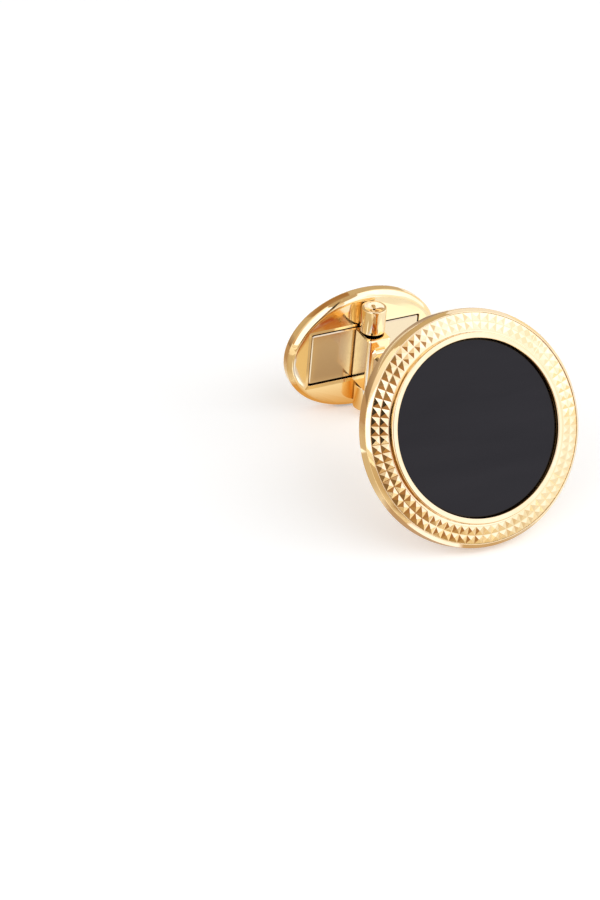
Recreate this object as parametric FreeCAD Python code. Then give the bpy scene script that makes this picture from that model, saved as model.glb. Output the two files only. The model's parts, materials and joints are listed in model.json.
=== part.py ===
import FreeCAD, Part
import os
from math import cos, pi, radians, sin, sqrt, tan

# A swivel-bar cufflink: a round head with an onyx inlay, a bent post and an oval toggle.
# It lies as it would on a table: +Z is up along the hinge pin, the head faces -Y,
# and the head's lower rim and the toggle's lower edge both touch the plane z = 0.

Vector = FreeCAD.Vector

# Onyx inlay and the collet that holds it
stone_radius = 6.73
stone_thickness = 1.2
stone_bevel = 0.12
stone_gap = 0.02
collet_wall = 0.45
collet_rise = 0.15
collet_bevel = 0.07
seat_width = 0.55
seat_thickness = 0.4

# Hobnail ring: two rows of small pyramids on a gently sloping band
pyramid_count = 75
row_count = 2
row_width = 0.65
pyramid_flank = 0.23
band_depth = 0.21
band_slope_deg = 14.5
land_width = 0.15
ring_base = 0.55
ring_seam = 0.015

# Bezel: polished rim, side wall and rear bevel
rim_width = 0.32
rim_rise = 0.04
rim_land = 0.05
rim_drop = 0.30
wall_depth = 1.85
rear_bevel = 0.40

# Back plate and the foot of the post
back_plate_margin = 0.50
back_plate_thickness = 0.65
back_plate_bevel = 0.07
foot_margin = 0.55
foot_thickness = 0.4
foot_bevel = 0.12

# Post: squared eye at the hinge, straight stretch, bend up to the head
head_lean_deg = 30.0
post_reach = 14.55
post_half_width = 0.65
eye_shoulder = 0.55
post_edge_bevel = 0.25
post_end_straight = 0.8
post_flare = 0.5
eye_half_width = 0.98
eye_front = 1.42
eye_edge_round = 0.3
eye_bevel = 0.1

# Toggle: oval shell, plate with a window, click spring in the window
toggle_half_length = 6.48
toggle_half_height = 5.12
toggle_rim_wall = 0.5
toggle_ledge = 0.35
rim_bevel = 0.45
shell_bevel = 0.28
shell_floor = 0.45
plate_thickness = 0.55
plate_bevel = 0.06
plate_seam = 0.02
window_end_margin = 1.15
window_corner_margin = 0.2312
window_corner = 0.15
window_bevel = 0.05
spring_thickness = 0.28
spring_gap = 0.02
spring_side_gap = 0.2
spring_bevel = 0.08
spring_clamp_gap = 0.01
tongue_width = 2.4
tongue_reach = 0.45

# Hinge: two knuckles on the plate and a pin that is flared at both ends
knuckle_radius = 0.98
hinge_end_margin = 0.61
knuckle_sink = 0.02
knuckle_bevel = 0.06
eye_side_gap = 0.08
eye_end_gap = 0.15
pin_radius = 0.5
pin_running_gap = 0.03
pin_fit = 0.005
flare_radius = 0.82
flare_depth = 0.30
dimple_radius = 0.78
dimple_depth = 0.22
dimple_tip_radius = 0.10
dimple_tip_depth = 0.15

# Radii and depths of the head that follow from the sizes above.
# Depths are measured along the head's axis from the polished face of the stone.
collet_inner = stone_radius + stone_gap
collet_outer = collet_inner + collet_wall
ring_inner = collet_outer + ring_seam
band_inner = ring_inner + land_width
band_outer = band_inner + row_count * row_width
rim_inner = band_outer + ring_seam
face_radius = rim_inner + rim_width
band_fall = tan(radians(band_slope_deg))
rim_top = -band_depth - band_fall * row_count * row_width + rim_rise
wall_top = rim_top - rim_drop
wall_bottom = -wall_depth
rear_face = wall_bottom - rear_bevel
collet_bottom = -stone_thickness - seat_thickness
back_plate_radius = face_radius - rear_bevel - back_plate_margin
back_plate_rear = collet_bottom - back_plate_thickness
foot_rear = back_plate_rear - foot_thickness
ring_bottom = -band_depth - band_fall * row_count * row_width - ring_base

# The window in the toggle's plate, the eye that dips into it, and the post behind the eye.
# The window's four corners lie on an oval just inside the plate's edge.
window_half_length = toggle_half_length - toggle_rim_wall - window_end_margin
corner_oval_length = toggle_half_length - toggle_rim_wall - window_corner_margin
corner_oval_height = toggle_half_height - toggle_rim_wall - window_corner_margin
window_half_height = corner_oval_height * sqrt(1 - (window_half_length / corner_oval_length) ** 2)
eye_half_height = window_half_height - eye_side_gap
post_half_height = eye_half_height - eye_shoulder - post_flare
foot_radius = post_half_height + post_flare + foot_margin

# Where the head stands: its lower edge touches the table, its axis leans back
lean = radians(head_lean_deg)
head_height = face_radius * cos(lean) - wall_bottom * sin(lean)
post_end_height = head_height + foot_rear * sin(lean)
head_setback = post_reach - foot_rear * cos(lean)

# Where the hinge stands, and the layers of the toggle behind it
hinge_height = toggle_half_height
plate_front = knuckle_radius - knuckle_sink
plate_rear = plate_front + plate_thickness
cavity_rear = plate_rear + spring_thickness + spring_clamp_gap
shell_rear = cavity_rear + shell_floor
spring_front = eye_half_width + spring_gap
knuckle_start = eye_half_height + eye_end_gap
knuckle_end = toggle_half_height - hinge_end_margin


def revolve(edges):
    """Solid of revolution about Z from edges drawn in the XZ plane."""
    face = Part.Face(Part.Wire(edges))
    return face.revolve(Vector(0, 0, 0), Vector(0, 0, 1), 360)


def outline(points):
    """Straight edges that join the points and close the loop."""
    corners = [Vector(*point) for point in points]
    pairs = zip(corners, corners[1:] + corners[:1])
    return [Part.LineSegment(start, end).toShape() for start, end in pairs]


def section(points):
    """Straight edges in the XZ plane from pairs of radius and height."""
    return outline([(radius, 0, height) for radius, height in points])


def oval(half_length, half_height, front, rear):
    """Elliptical plate that stands in the XZ plane between two Y positions."""
    middle = Vector(0, front, hinge_height)
    ellipse = Part.Ellipse(middle + Vector(half_length, 0, 0), middle + Vector(0, 0, half_height), middle)
    face = Part.Face(Part.Wire([ellipse.toShape()]))
    return face.extrude(Vector(0, rear - front, 0))


def upright_block(half_width, front, rear, half_height):
    """Box about the hinge axis, between two Y positions."""
    corner = Vector(-half_width, front, hinge_height - half_height)
    return Part.makeBox(2 * half_width, rear - front, 2 * half_height, corner)


def edges_along(shape, direction):
    """Straight edges of a shape that run in one direction."""
    chosen = []
    for edge in shape.Edges:
        run = edge.Vertexes[-1].Point - edge.Vertexes[0].Point
        if run.Length > 0 and run.cross(direction).Length < 1e-6 * run.Length:
            chosen.append(edge)
    return chosen


def edges_at_y(shape, level):
    """Edges of a shape that lie wholly in one plane across Y."""
    chosen = []
    for edge in shape.Edges:
        box = edge.BoundBox
        if abs(box.YMin - level) < 1e-4 and abs(box.YMax - level) < 1e-4:
            chosen.append(edge)
    return chosen


def place_head(shape):
    """Carry a piece from the head's own axis to its leaning place."""
    shape.rotate(Vector(0, 0, 0), Vector(1, 0, 0), 90 - head_lean_deg)
    shape.translate(Vector(0, -head_setback, head_height))
    return shape


def make_onyx_disc():
    """Flat polished stone with a bevelled edge."""
    return revolve(section([
        (0, -stone_thickness),
        (stone_radius, -stone_thickness),
        (stone_radius, -stone_bevel),
        (stone_radius - stone_bevel, 0),
        (0, 0),
    ]))


def make_collet_ring():
    """Ring of L section: a wall round the stone and a seat under it."""
    return revolve(section([
        (collet_inner - seat_width, collet_bottom),
        (collet_outer, collet_bottom),
        (collet_outer, collet_rise - collet_bevel),
        (collet_outer - collet_bevel, collet_rise),
        (collet_inner + collet_bevel, collet_rise),
        (collet_inner, collet_rise - collet_bevel),
        (collet_inner, -stone_thickness),
        (collet_inner - seat_width, -stone_thickness),
    ]))


def band_height(radius):
    """Height of the band's valleys at a radius."""
    return -band_depth - band_fall * (radius - band_inner)


def make_hobnail_ring():
    """Ring turned with a circular ridge for each row, then cut by radial V grooves."""
    half_step = pi / pyramid_count
    profile = [(ring_inner, ring_bottom), (band_outer, ring_bottom)]
    for row in reversed(range(row_count)):
        outer = band_inner + (row + 1) * row_width
        middle = outer - row_width / 2
        crest = band_height(middle) + middle * tan(half_step) * pyramid_flank
        profile.append((outer, band_height(outer)))
        profile.append((middle, crest))
    profile.append((band_inner, band_height(band_inner)))
    profile.append((ring_inner, band_height(band_inner)))
    ring = revolve(section(profile))

    # One groove: a V along a radius, its root on the band's slope, wider than one pyramid
    groove_start = band_inner
    groove_end = face_radius
    opening = 2 * face_radius * half_step
    root_start = Vector(groove_start, 0, band_height(groove_start))
    root_end = Vector(groove_end, 0, band_height(groove_end))
    sides = []
    for root in (root_start, root_end):
        left = root + Vector(0, opening, opening * pyramid_flank)
        right = root + Vector(0, -opening, opening * pyramid_flank)
        sides.append(Part.makePolygon([root, left, right, root]))
    groove = Part.makeLoft(sides, True, True)
    grooves = []
    for step in range(pyramid_count):
        cutter = groove.copy()
        cutter.rotate(Vector(0, 0, 0), Vector(0, 0, 1), 360.0 * step / pyramid_count)
        grooves.append(cutter)
    return ring.cut(grooves)


def make_bezel():
    """Outer ring: polished rim, side wall and rear bevel, stepped inside for the other rings."""
    bore = collet_outer + ring_seam
    plate_bore = back_plate_radius + ring_seam
    ring = revolve(section([
        (face_radius, wall_top),
        (face_radius, wall_bottom),
        (face_radius - rear_bevel, rear_face),
        (plate_bore, rear_face),
        (plate_bore, collet_bottom),
        (bore, collet_bottom),
        (bore, ring_bottom),
        (rim_inner, ring_bottom),
        (rim_inner, rim_top),
        (rim_inner + rim_land, rim_top),
    ]))
    # The ring's seam goes to the top, away from the lowest point, on which the head rests
    ring.rotate(Vector(0, 0, 0), Vector(0, 0, 1), 90)
    return ring


def make_back_plate():
    """Disc that closes the head from behind."""
    return revolve(section([
        (0, back_plate_rear),
        (back_plate_radius - back_plate_bevel, back_plate_rear),
        (back_plate_radius, back_plate_rear + back_plate_bevel),
        (back_plate_radius, collet_bottom),
        (0, collet_bottom),
    ]))


def make_post_foot():
    """Round pad between the back plate and the post."""
    return revolve(section([
        (0, foot_rear),
        (foot_radius - foot_bevel, foot_rear),
        (foot_radius, foot_rear + foot_bevel),
        (foot_radius, back_plate_rear),
        (0, back_plate_rear),
    ]))


def make_arm():
    """The post between the eye and the foot, cut from one side profile and bevelled along its edges."""
    climb = post_end_height - hinge_height
    bend_radius = (climb - post_end_straight * sin(lean)) / (1 - cos(lean))
    bend_start = post_reach - bend_radius * sin(lean) - post_end_straight * cos(lean)
    bend_middle = Vector(0, -bend_start, hinge_height + bend_radius)
    end = Vector(0, -post_reach, post_end_height)
    forward = Vector(0, -cos(lean), sin(lean))
    across = Vector(0, sin(lean), cos(lean))
    quarter = sin(pi / 4)

    def bend_point(turn, offset):
        """Point on the bend, above or below the middle line."""
        reach = bend_radius - offset
        return bend_middle + Vector(0, -reach * sin(turn), -reach * cos(turn))

    def half_profile(side):
        """Edges of the upper (+1) or lower (-1) side, from the eye to the foot."""
        offset = side * post_half_height
        eye_corner = Vector(0, -eye_front, hinge_height + offset + side * post_flare)
        eye_tangent = Vector(0, -eye_front - post_flare, hinge_height + offset)
        eye_centre = Vector(0, -eye_front - post_flare, hinge_height + offset + side * post_flare)
        eye_bow = eye_centre + Vector(0, post_flare * quarter, -side * post_flare * quarter)
        bend_in = bend_point(0, offset)
        bend_half = bend_point(lean / 2, offset)
        bend_out = bend_point(lean, offset)
        foot_corner = end + across * (offset + side * post_flare)
        foot_tangent = end + across * offset - forward * post_flare
        foot_centre = end + across * (offset + side * post_flare) - forward * post_flare
        foot_bow = foot_centre + forward * (post_flare * quarter) - across * (side * post_flare * quarter)
        return [
            Part.Arc(eye_corner, eye_bow, eye_tangent).toShape(),
            Part.LineSegment(eye_tangent, bend_in).toShape(),
            Part.Arc(bend_in, bend_half, bend_out).toShape(),
            Part.LineSegment(bend_out, foot_tangent).toShape(),
            Part.Arc(foot_tangent, foot_bow, foot_corner).toShape(),
        ]

    upper = half_profile(1)
    lower = half_profile(-1)
    close_eye = Part.LineSegment(lower[0].Vertexes[0].Point, upper[0].Vertexes[0].Point).toShape()
    close_foot = Part.LineSegment(upper[-1].Vertexes[-1].Point, lower[-1].Vertexes[-1].Point).toShape()
    loop = Part.Wire(Part.__sortEdges__(upper + lower + [close_eye, close_foot]))
    face = Part.Face(loop)
    face.translate(Vector(-post_half_width, 0, 0))
    arm = face.extrude(Vector(2 * post_half_width, 0, 0))

    # The long edges of both flanks are bevelled; the two ends stay square where they are joined
    bevelled = []
    for edge in arm.Edges:
        box = edge.BoundBox
        middle = edge.valueAt((edge.FirstParameter + edge.LastParameter) / 2)
        on_flank = box.XLength < 1e-6
        at_eye = abs(middle.y + eye_front) < 1e-6
        at_foot = abs((middle - end).dot(forward)) < 1e-6
        if on_flank and not at_eye and not at_foot:
            bevelled.append(edge)
    return arm.makeChamfer(post_edge_bevel, bevelled)


def make_post():
    """Squared eye, bored for the pin, with the arm that carries it."""
    eye = upright_block(eye_half_width, -eye_front, eye_half_width, eye_half_height)
    eye = eye.makeFillet(eye_edge_round, edges_along(eye, Vector(0, 0, 1)))
    low = hinge_height - eye_half_height
    high = hinge_height + eye_half_height
    ends = []
    for edge in eye.Edges:
        box = edge.BoundBox
        flat = box.ZLength < 1e-6
        if flat and (abs(box.ZMin - low) < 1e-6 or abs(box.ZMin - high) < 1e-6):
            ends.append(edge)
    eye = eye.makeChamfer(eye_bevel, ends)
    bore = Part.makeCylinder(pin_radius + pin_running_gap, 4 * eye_half_height,
                             Vector(0, 0, hinge_height - 2 * eye_half_height))
    return eye.fuse(make_arm()).removeSplitter().cut(bore)


def make_toggle_shell():
    """Oval cup: floor, rim wall with a wide bevel in front, and a ledge for the plate."""
    blank = oval(toggle_half_length, toggle_half_height, plate_front, shell_rear)
    blank = blank.makeChamfer(rim_bevel, edges_at_y(blank, plate_front))
    blank = blank.makeChamfer(shell_bevel, edges_at_y(blank, shell_rear))
    pocket_length = toggle_half_length - toggle_rim_wall
    pocket_height = toggle_half_height - toggle_rim_wall
    pocket = oval(pocket_length, pocket_height, plate_front, plate_rear)
    cavity = oval(pocket_length - toggle_ledge, pocket_height - toggle_ledge, plate_front, cavity_rear)
    return blank.cut(pocket).cut(cavity)


def make_window():
    """Cutter for the window, with rounded corners."""
    block = upright_block(window_half_length, plate_front - plate_thickness,
                          plate_rear + plate_thickness, window_half_height)
    return block.makeFillet(window_corner, edges_along(block, Vector(0, 1, 0)))


def make_knuckle(side):
    """Tube on the plate, countersunk at its outer end for the flared pin."""
    inner = knuckle_start
    outer = knuckle_end
    bore = pin_radius + pin_fit
    mouth = flare_radius + pin_fit
    tube = revolve(section([
        (bore, inner),
        (knuckle_radius - knuckle_bevel, inner),
        (knuckle_radius, inner + knuckle_bevel),
        (knuckle_radius, outer - knuckle_bevel),
        (knuckle_radius - knuckle_bevel, outer),
        (mouth, outer),
        (bore, outer - flare_depth),
    ]))
    if side < 0:
        tube.rotate(Vector(0, 0, 0), Vector(1, 0, 0), 180)
    tube.translate(Vector(0, 0, hinge_height))
    return tube


def make_toggle_plate():
    """Inner plate of the toggle: bevelled edge, window and a seat for each knuckle."""
    edge_gap = toggle_rim_wall + plate_seam
    plate = oval(toggle_half_length - edge_gap, toggle_half_height - edge_gap, plate_front, plate_rear)
    plate = plate.makeChamfer(plate_bevel, edges_at_y(plate, plate_front))
    outer_edges = len(edges_at_y(plate, plate_front))
    plate = plate.cut(make_window())
    front_edges = sorted(edges_at_y(plate, plate_front), key=lambda edge: edge.Length)
    plate = plate.makeChamfer(window_bevel, front_edges[:-outer_edges])
    for side in (1, -1):
        seat = Part.makeCylinder(knuckle_radius, knuckle_end - knuckle_start, Vector(0, 0, knuckle_start))
        if side < 0:
            seat.rotate(Vector(0, 0, 0), Vector(1, 0, 0), 180)
        seat.translate(Vector(0, 0, hinge_height))
        plate = plate.cut(seat)
    return plate


def make_click_spring():
    """Leaf whose pad fills the window, with a stepped tongue clamped behind the plate at each end."""
    pad_half_length = window_half_length - spring_side_gap
    pad_half_height = window_half_height - spring_side_gap
    pad_rear = spring_front + spring_thickness
    pad = upright_block(pad_half_length, spring_front, pad_rear, pad_half_height)
    pad = pad.makeFillet(window_corner, edges_along(pad, Vector(0, 1, 0)))
    pad = pad.makeChamfer(spring_bevel, edges_at_y(pad, spring_front))
    leg_top = spring_front + 2 * spring_bevel
    foot_front = plate_rear + spring_clamp_gap / 2
    foot_back = foot_front + spring_thickness
    leg_inner = pad_half_length - spring_thickness
    tongue_end = window_half_length + tongue_reach
    leaf = pad
    for side in (1, -1):
        profile = outline([
            (side * leg_inner, leg_top, 0),
            (side * pad_half_length, leg_top, 0),
            (side * pad_half_length, foot_front, 0),
            (side * tongue_end, foot_front, 0),
            (side * tongue_end, foot_back, 0),
            (side * leg_inner, foot_back, 0),
        ])
        tongue = Part.Face(Part.Wire(profile)).extrude(Vector(0, 0, tongue_width))
        tongue.translate(Vector(0, 0, hinge_height - tongue_width / 2))
        leaf = leaf.fuse(tongue)
    return leaf.removeSplitter()


def make_hinge_pin():
    """Pin flared into both knuckles, with a conical dimple in each end."""
    half = [
        (pin_radius, 0),
        (pin_radius, knuckle_end - flare_depth),
        (flare_radius, knuckle_end),
        (dimple_radius, knuckle_end),
        (dimple_tip_radius, knuckle_end - dimple_depth),
        (dimple_tip_radius, knuckle_end - dimple_depth - dimple_tip_depth),
        (0, knuckle_end - dimple_depth - dimple_tip_depth),
        (0, 0),
    ]
    upper = revolve(section(half))
    lower = upper.copy()
    lower.rotate(Vector(0, 0, 0), Vector(1, 0, 0), 180)
    pin = upper.fuse(lower).removeSplitter()
    pin.translate(Vector(0, 0, hinge_height))
    return pin


pieces = {
    "onyx_disc": place_head(make_onyx_disc()),
    "collet_ring": place_head(make_collet_ring()),
    "hobnail_ring": place_head(make_hobnail_ring()),
    "bezel": place_head(make_bezel()),
    "back_plate": place_head(make_back_plate()),
    "post_foot": place_head(make_post_foot()),
    "post": make_post(),
    "toggle_shell": make_toggle_shell(),
    "toggle_plate": make_toggle_plate(),
    "click_spring": make_click_spring(),
    "upper_knuckle": make_knuckle(1),
    "lower_knuckle": make_knuckle(-1),
    "hinge_pin": make_hinge_pin(),
}

# The origin is on the table, in the middle of the cufflink's length
whole = Part.makeCompound(list(pieces.values())).optimalBoundingBox(False, False)
middle_shift = Vector(0, -(whole.YMin + whole.YMax) / 2, 0)
os.makedirs("parts", exist_ok=True)
for name, shape in pieces.items():
    shape.translate(middle_shift)
    shape.exportStep(os.path.join("parts", name + ".step"))
    state = "valid" if shape.isValid() else "NOT VALID"
    print(name, shape.ShapeType, len(shape.Solids), state, round(shape.Volume, 3))

print("hinge axis y", round(middle_shift.y, 4), "height", hinge_height)
print("stone centre y", round(middle_shift.y - head_setback, 4), "z", round(head_height, 4))
print("length", round(whole.YLength, 3), "width", round(whole.XLength, 3), "height", round(whole.ZLength, 3))
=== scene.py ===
# %% [markdown]
# # A round cufflink with an onyx inlay
# The real cufflink is a small assembly: a round head with a flat black stone, a bent post, and an oval toggle
# that turns on a pin so that it can pass a buttonhole. The construction model already holds every piece at its
# exact place. This lesson dresses those pieces: polished edges, mirror gold, black stone, and a small photo
# studio. We start by loading the model.

# %% Load the construction model
import json
from math import atan2, cos, pi, radians, sin, tan

import bmesh
import bpy
from mathutils import Matrix, Vector


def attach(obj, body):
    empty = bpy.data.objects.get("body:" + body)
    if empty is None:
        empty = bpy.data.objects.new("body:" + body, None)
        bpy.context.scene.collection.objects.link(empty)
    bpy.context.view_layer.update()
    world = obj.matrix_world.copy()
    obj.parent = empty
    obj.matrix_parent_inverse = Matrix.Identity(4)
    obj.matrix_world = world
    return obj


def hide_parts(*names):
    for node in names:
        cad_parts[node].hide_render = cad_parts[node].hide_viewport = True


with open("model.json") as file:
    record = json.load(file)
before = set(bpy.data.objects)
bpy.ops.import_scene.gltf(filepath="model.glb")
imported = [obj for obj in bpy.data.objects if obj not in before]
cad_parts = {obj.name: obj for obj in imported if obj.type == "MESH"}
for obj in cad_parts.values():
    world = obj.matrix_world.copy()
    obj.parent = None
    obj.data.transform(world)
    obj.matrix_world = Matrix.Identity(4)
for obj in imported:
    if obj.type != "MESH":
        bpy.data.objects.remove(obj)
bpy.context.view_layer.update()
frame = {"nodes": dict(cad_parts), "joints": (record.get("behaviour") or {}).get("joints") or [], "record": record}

print("construction model:", sorted(frame["nodes"]))

# %% [markdown]
# ## Two places to work from
# A goldsmith turns the head on a lathe, round its own axis, and only then sets it at a slant. We do the same:
# each round piece is drawn in millimetres about the Z axis, and one matrix carries it to its place. The model
# marks the top of the ring that stands proud of the stone, and the way it faces. That is the head's axis, and the
# head's middle lies on it, a little below the ring's top. The toggle is drawn about the hinge pin, whose place
# comes from the model's joint.

# %% Find the head's axis and the hinge
MM = 0.001
collet_rise = 0.15

mounts = {mount["name"]: mount for mount in frame["record"]["mounts"]}
face_axis = Vector(mounts["face_ring"]["axis"]).normalized()
side_axis = Vector((1, 0, 0))
upward_axis = face_axis.cross(side_axis)
ring_top = Vector(mounts["face_ring"]["pos_m"])
face_centre = Vector((0, ring_top.y, ring_top.z)) - face_axis * (collet_rise * MM)

head_axes = Matrix((side_axis, upward_axis, face_axis)).transposed().to_4x4()
head_place = Matrix.Translation(face_centre) @ head_axes @ Matrix.Scale(MM, 4)

hinge_centre = Vector(frame["joints"][0]["pos_m"])
hinge_place = Matrix.Translation(hinge_centre) @ Matrix.Scale(MM, 4)
print("middle of the head at", [round(v / MM, 3) for v in face_centre], "mm")
print("hinge at", [round(v / MM, 3) for v in hinge_centre], "mm")

# %% [markdown]
# ## Helpers for finishes
# Polished metal and stone are never one flat number: the tint drifts, and the polish is clear here and hazy
# there. A painted texture could show that, but it needs an unwrapped mesh. Noise needs nothing, because it lives
# in the piece's own coordinates. With the helpers here each finish below becomes a short recipe.

# %% A bare material


def add_node(tree, kind, values=None):
    """A new node, with fixed values for some of its inputs."""
    node = tree.nodes.new(kind)
    for name, value in (values or {}).items():
        node.inputs[name].default_value = value
    return node


def new_material(name, values):
    """A node material with a shader, whose fixed inputs are given, and an output."""
    material = bpy.data.materials.new(name)
    material.use_nodes = True
    tree = material.node_tree
    tree.nodes.clear()
    output = add_node(tree, "ShaderNodeOutputMaterial")
    shader = add_node(tree, "ShaderNodeBsdfPrincipled", values)
    tree.links.new(shader.outputs["BSDF"], output.inputs["Surface"])
    return material, tree, shader


print(len(bpy.data.materials), "materials came with the model")

# %% Noise, ranges, blends and hairlines


def noise(tree, place, scale, detail=3.0, stretch=(1, 1, 1)):
    """Noise in the piece's own coordinates; scale counts features per metre."""
    mapping = add_node(tree, "ShaderNodeMapping", {"Scale": stretch})
    texture = add_node(tree, "ShaderNodeTexNoise", {"Scale": scale, "Detail": detail})
    tree.links.new(place.outputs["Object"], mapping.inputs["Vector"])
    tree.links.new(mapping.outputs["Vector"], texture.inputs["Vector"])
    return texture.outputs["Fac"]


def spread(tree, source, low, high, start=0.3, end=0.7):
    """Map a value between start and end to a range."""
    limits = {"From Min": start, "From Max": end, "To Min": low, "To Max": high}
    ramp = add_node(tree, "ShaderNodeMapRange", limits)
    tree.links.new(source, ramp.inputs["Value"])
    return ramp.outputs["Result"]


def blend_colours(tree, amount, first, second):
    """Mix two colours by a value; either colour may be a fixed one or another node."""
    mix = add_node(tree, "ShaderNodeMix")
    mix.data_type = "RGBA"
    tree.links.new(amount, mix.inputs["Factor"])
    for socket, colour in (("A", first), ("B", second)):
        target = [entry for entry in mix.inputs if entry.name == socket and entry.type == "RGBA"][0]
        if isinstance(colour, tuple):
            target.default_value = (*colour, 1)
        else:
            tree.links.new(colour, target)
    return [entry for entry in mix.outputs if entry.type == "RGBA"][0]


def hairlines(tree, height, strength, depth):
    """A weak bump, as the last polish leaves it; depth is in metres."""
    bump = add_node(tree, "ShaderNodeBump", {"Strength": strength, "Distance": depth})
    tree.links.new(height, bump.inputs["Height"])
    return bump.outputs["Normal"]


print("material helpers are ready")

# %% [markdown]
# ## A recipe for gold
# A mirror shows its surroundings, so the metal's own colour must stay quiet: we tint a metallic shader and let
# small things vary. Slow noise drifts the tint, as an alloy does. Fine noise moves the roughness between nearly
# perfect and slightly hazy, which is what a polishing wheel leaves. Corners are handled most, so the pointiness
# of the mesh makes edges a shade paler and less sharp. Narrow gaps get painted shade: an ambient occlusion node
# finds them, and a dark brown is mixed into the colour there.

# %% Settings for gold
tint_scale = 420
haze_scale = 2600
hairline_scale = 5200
gold_hairline_depth = 0.000004
edge_range = (0.52, 0.62)
edge_paleness = 1.04
edge_haze = 0.05
# Painted shade for narrow gaps: how far the occlusion looks, and the dark brown that is mixed in.
gap_shade_reach = 0.00035
gap_shade_colour = (0.06, 0.03, 0.012)
print("gap shading reaches", gap_shade_reach / MM, "mm")

# %% The gold shader


def combine(tree, operation, first, second):
    """Two values put together, as a sum or as the larger of the two."""
    node = add_node(tree, "ShaderNodeMath")
    node.operation = operation
    tree.links.new(first, node.inputs[0])
    tree.links.new(second, node.inputs[1])
    return node.outputs["Value"]


def painted_gap_shade(tree, deep, shallow):
    """Mask for the painted gap shade: 1 deep in a narrow gap and 0 on open metal."""
    shade = add_node(tree, "ShaderNodeAmbientOcclusion", {"Distance": gap_shade_reach})
    shade.samples = 8
    return spread(tree, shade.outputs["AO"], 1.0, 0.0, deep, shallow)


def make_gold(name, deep, pale, gloss, hairline, stretch, gap_shade_range):
    """Polished gold: drifting tint, hazy and clear patches, paler edges, painted shade in gaps, and hairlines."""
    material, tree, shader = new_material(name, {"Metallic": 1.0})
    place = add_node(tree, "ShaderNodeTexCoord")
    edges = add_node(tree, "ShaderNodeNewGeometry")
    worn = spread(tree, edges.outputs["Pointiness"], 0.0, 1.0, *edge_range)
    drift = spread(tree, noise(tree, place, tint_scale), 0.0, 1.0)
    tint = blend_colours(tree, drift, deep, pale)
    edge_tint = tuple(min(1.0, value * edge_paleness) for value in pale)
    polished = blend_colours(tree, worn, tint, edge_tint)
    # Painted shade: deep in a narrow gap the colour turns dark brown.
    colour = blend_colours(tree, painted_gap_shade(tree, *gap_shade_range), polished, gap_shade_colour)
    haze = spread(tree, noise(tree, place, haze_scale, 5.0), *gloss)
    roughness = combine(tree, "ADD", haze, spread(tree, worn, 0.0, edge_haze, 0.0, 1.0))
    scratches = noise(tree, place, hairline_scale, 4.0, stretch)
    tree.links.new(colour, shader.inputs["Base Color"])
    tree.links.new(roughness, shader.inputs["Roughness"])
    tree.links.new(hairlines(tree, scratches, hairline, gold_hairline_depth), shader.inputs["Normal"])
    return material


print("the gold recipe is ready")

# %% [markdown]
# ## Three golds
# Nearly all of the cufflink is yellow gold with a mirror polish. The rings of the head and the toggle's plate
# have the same gold, but they lie so close to their neighbours that the usual gap shading would smear over whole
# facets, so their version darkens only the deepest part of a seam. The click spring is a tanner alloy with a
# satin drawn along the leaf, so its noise is stretched the most. One function makes all three.

# %% Mirror gold, seam gold and spring gold
yellow_tints = ((0.93, 0.655, 0.30), (0.97, 0.715, 0.36))
tan_tints = ((0.70, 0.515, 0.29), (0.74, 0.545, 0.31))
mirror_polish = ((0.035, 0.075), 0.035, (1, 1, 6))
satin_polish = ((0.06, 0.10), 0.06, (0.15, 1, 8))

# The last range of each gold says where its painted gap shade starts and ends.
polished_gold = make_gold("mirror_gold", *yellow_tints, *mirror_polish, gap_shade_range=(0.20, 0.50))
spring_gold = make_gold("satin_gold", *tan_tints, *satin_polish, gap_shade_range=(0.0, 0.10))
seam_gold = make_gold("seam_gold", *yellow_tints, *mirror_polish, gap_shade_range=(0.0, 0.12))
print("gold finishes:", polished_gold.name, spring_gold.name, seam_gold.name)

# %% [markdown]
# ## Black onyx
# Onyx is a banded quartz that is dyed black and polished. It isn't a metal: it reflects only a few percent of the
# light, so nearly all that we see is a dim mirror image of the studio. Faint darker and browner layers stay
# visible in the dye, and the polish has a breath of haze. The layers come from stretched noise, too weak to read
# as a pattern.

# %% The stone's shader
onyx_blacks = ((0.0028, 0.0026, 0.0034), (0.0060, 0.0055, 0.0066))
onyx_gloss = (0.025, 0.055)
layer_scale = 260
layer_stretch = (0.4, 1.0, 3.0)
breath_scale = 3000
wave_scale = 900
wave_strength = 0.015
wave_depth = 0.000003
quartz_ior = 1.54
warm_reflection = (1.0, 0.84, 0.64, 1)


def make_onyx(name):
    """Black dyed quartz with faint layers and a high polish."""
    reflection = {"IOR": quartz_ior, "Specular IOR Level": 0.25, "Specular Tint": warm_reflection}
    material, tree, shader = new_material(name, reflection)
    place = add_node(tree, "ShaderNodeTexCoord")
    layers = spread(tree, noise(tree, place, layer_scale, 4.0, layer_stretch), 0.0, 1.0)
    colour = blend_colours(tree, layers, *onyx_blacks)
    haze = spread(tree, noise(tree, place, breath_scale, 4.0), *onyx_gloss)
    waves = noise(tree, place, wave_scale, 2.0)
    tree.links.new(colour, shader.inputs["Base Color"])
    tree.links.new(haze, shader.inputs["Roughness"])
    tree.links.new(hairlines(tree, waves, wave_strength, wave_depth), shader.inputs["Normal"])
    return material


black_onyx = make_onyx("polished_onyx")
print("stone finish:", black_onyx.name)

# %% [markdown]
# ## From a bare mesh to a piece of the cufflink
# Every piece we draw ends the same way. Its mesh is carried to its place, the normals are made to point out, it
# gets its finish, and two calls tie it to the model: it rides on a body, and the construction solid that it
# stands for is hidden. Weighted normals keep large flat faces flat in the reflection
# while the small rounded edges beside them catch a highlight, which helps mirror metal more than a denser mesh.

# %% Finish a piece
crease_angle = radians(40)
flat_weight = 90


def add_object(name, data):
    """A new object in the scene for a mesh, a lamp or a camera."""
    thing = bpy.data.objects.new(name, data)
    bpy.context.scene.collection.objects.link(thing)
    return thing


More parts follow.
